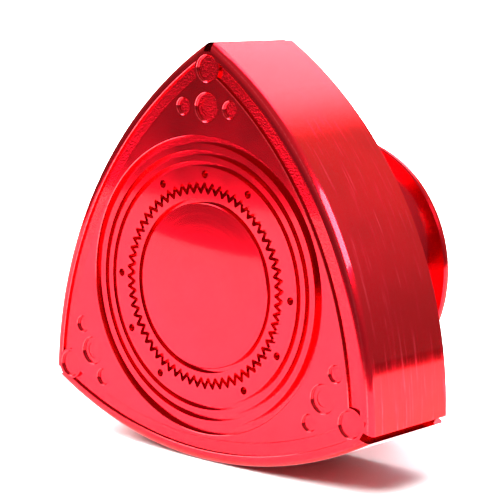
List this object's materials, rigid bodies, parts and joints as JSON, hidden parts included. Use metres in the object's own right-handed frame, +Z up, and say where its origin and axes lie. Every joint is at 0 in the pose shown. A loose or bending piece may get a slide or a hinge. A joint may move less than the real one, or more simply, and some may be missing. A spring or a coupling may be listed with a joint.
{
  "type": "gear shift knob",
  "caption": "Rotor-shaped gear shift knob with an engraved face and a flared neck; a threaded sleeve, locked by grub screws, takes the gear lever.",
  "frame": {"origin": "mouth of the sleeve's threaded hole, on the knob's axis", "axes": "+Y along the knob's axis, out of the hole towards the lever; the engraved face looks along -Y; +Z up, with one apex up and the lower flank on the ground"},
  "size_m": [0.0562, 0.0313, 0.0558],
  "materials": {
    "red_anodised": "red anodised, satin",
    "turned_brass": "turned",
    "black_oxide_steel": "black oxide",
    "spring_steel": "zinc plated",
    "black_rubber": "matte",
    "nylon": "natural"
  },
  "bodies": {
    "knob": {"rotor_head": "red_anodised", "centre_cap": "red_anodised", "cap_seal_ring": "black_rubber", "neck_screws": "black_oxide_steel", "lock_washers": "spring_steel", "flared_neck": "red_anodised", "stop_pad": "black_rubber"},
    "sleeve": {"lever_sleeve": "turned_brass", "sleeve_seal_ring": "black_rubber"},
    "grub_1": {"grub_screw_1": "black_oxide_steel", "grub_tip_1": "nylon"},
    "grub_2": {"grub_screw_2": "black_oxide_steel", "grub_tip_2": "nylon"},
    "grub_3": {"grub_screw_3": "black_oxide_steel", "grub_tip_3": "nylon"}
  },
  "joints": [
    {"name": "sleeve_slide", "type": "slide", "parent": "knob", "child": "sleeve", "axis": [0, 1, 0], "range_m": [0, 0.018]},
    {"name": "grub_1_travel", "type": "slide", "parent": "knob", "child": "grub_1", "axis": [0.866, 0, 0.5], "range_m": [-0.0008, 0.0015]},
    {"name": "grub_2_travel", "type": "slide", "parent": "knob", "child": "grub_2", "axis": [-0.866, 0, 0.5], "range_m": [-0.0008, 0.0015]},
    {"name": "grub_3_travel", "type": "slide", "parent": "knob", "child": "grub_3", "axis": [0, 0, -1], "range_m": [-0.0008, 0.0015]}
  ]
}
